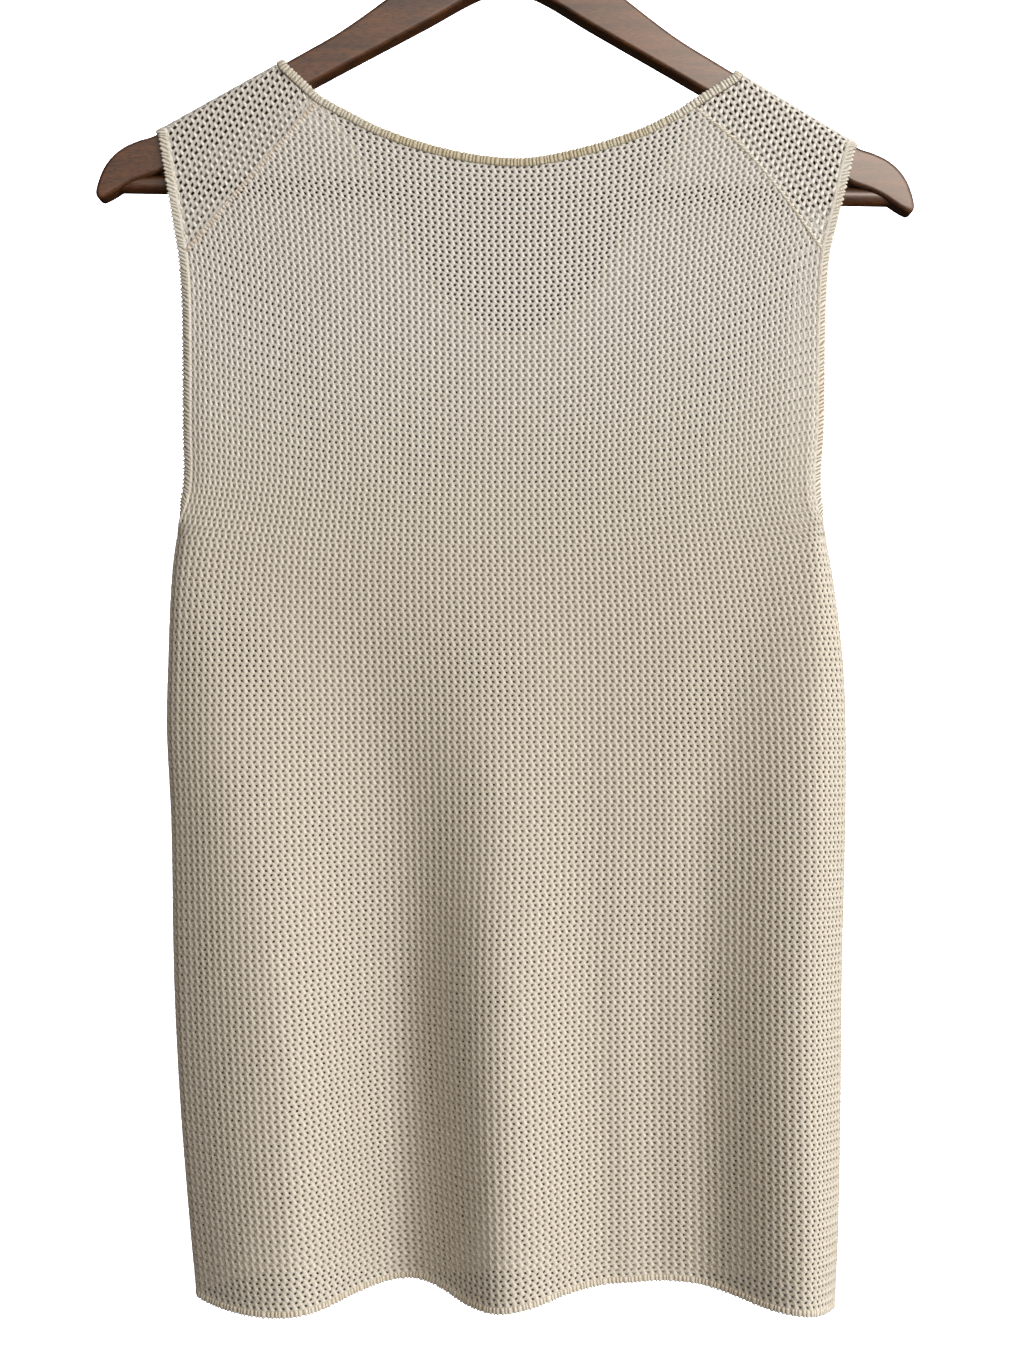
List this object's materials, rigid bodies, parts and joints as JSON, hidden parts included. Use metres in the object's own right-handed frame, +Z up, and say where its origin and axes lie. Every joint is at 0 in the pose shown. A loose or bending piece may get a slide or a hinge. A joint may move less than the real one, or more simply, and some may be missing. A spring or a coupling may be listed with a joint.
{
  "type": "open-knit tank top on hanger",
  "caption": "Sleeveless open-knit tank top with ribbed neck and armhole bands, hanging in soft folds from a flat wooden suit hanger with a trouser bar.",
  "frame": {"origin": "inside the top of the hanger's hook, where it hangs from a rail", "axes": "+Z up, +X to the right as the garment's back is seen, -Y towards the side that the back panel faces"},
  "size_m": [0.4428, 0.0746, 0.8181],
  "materials": {
    "open_knit": "open knit of soft cream yarn, matt",
    "rib_knit": "dense ribbed knit of the same cream yarn, matt",
    "hanger_wood": "walnut-brown stained wood under satin lacquer",
    "hook_wire": "bright plated steel wire"
  },
  "bodies": {
    "root": {"back_panel": "open_knit", "front_panel": "open_knit", "neck_binding": "rib_knit", "armhole_binding_left": "rib_knit", "armhole_binding_right": "rib_knit", "hem_edging": "rib_knit", "hanger_body": "hanger_wood", "trouser_bar": "hanger_wood", "hanger_hook": "hook_wire"}
  },
  "joints": []
}
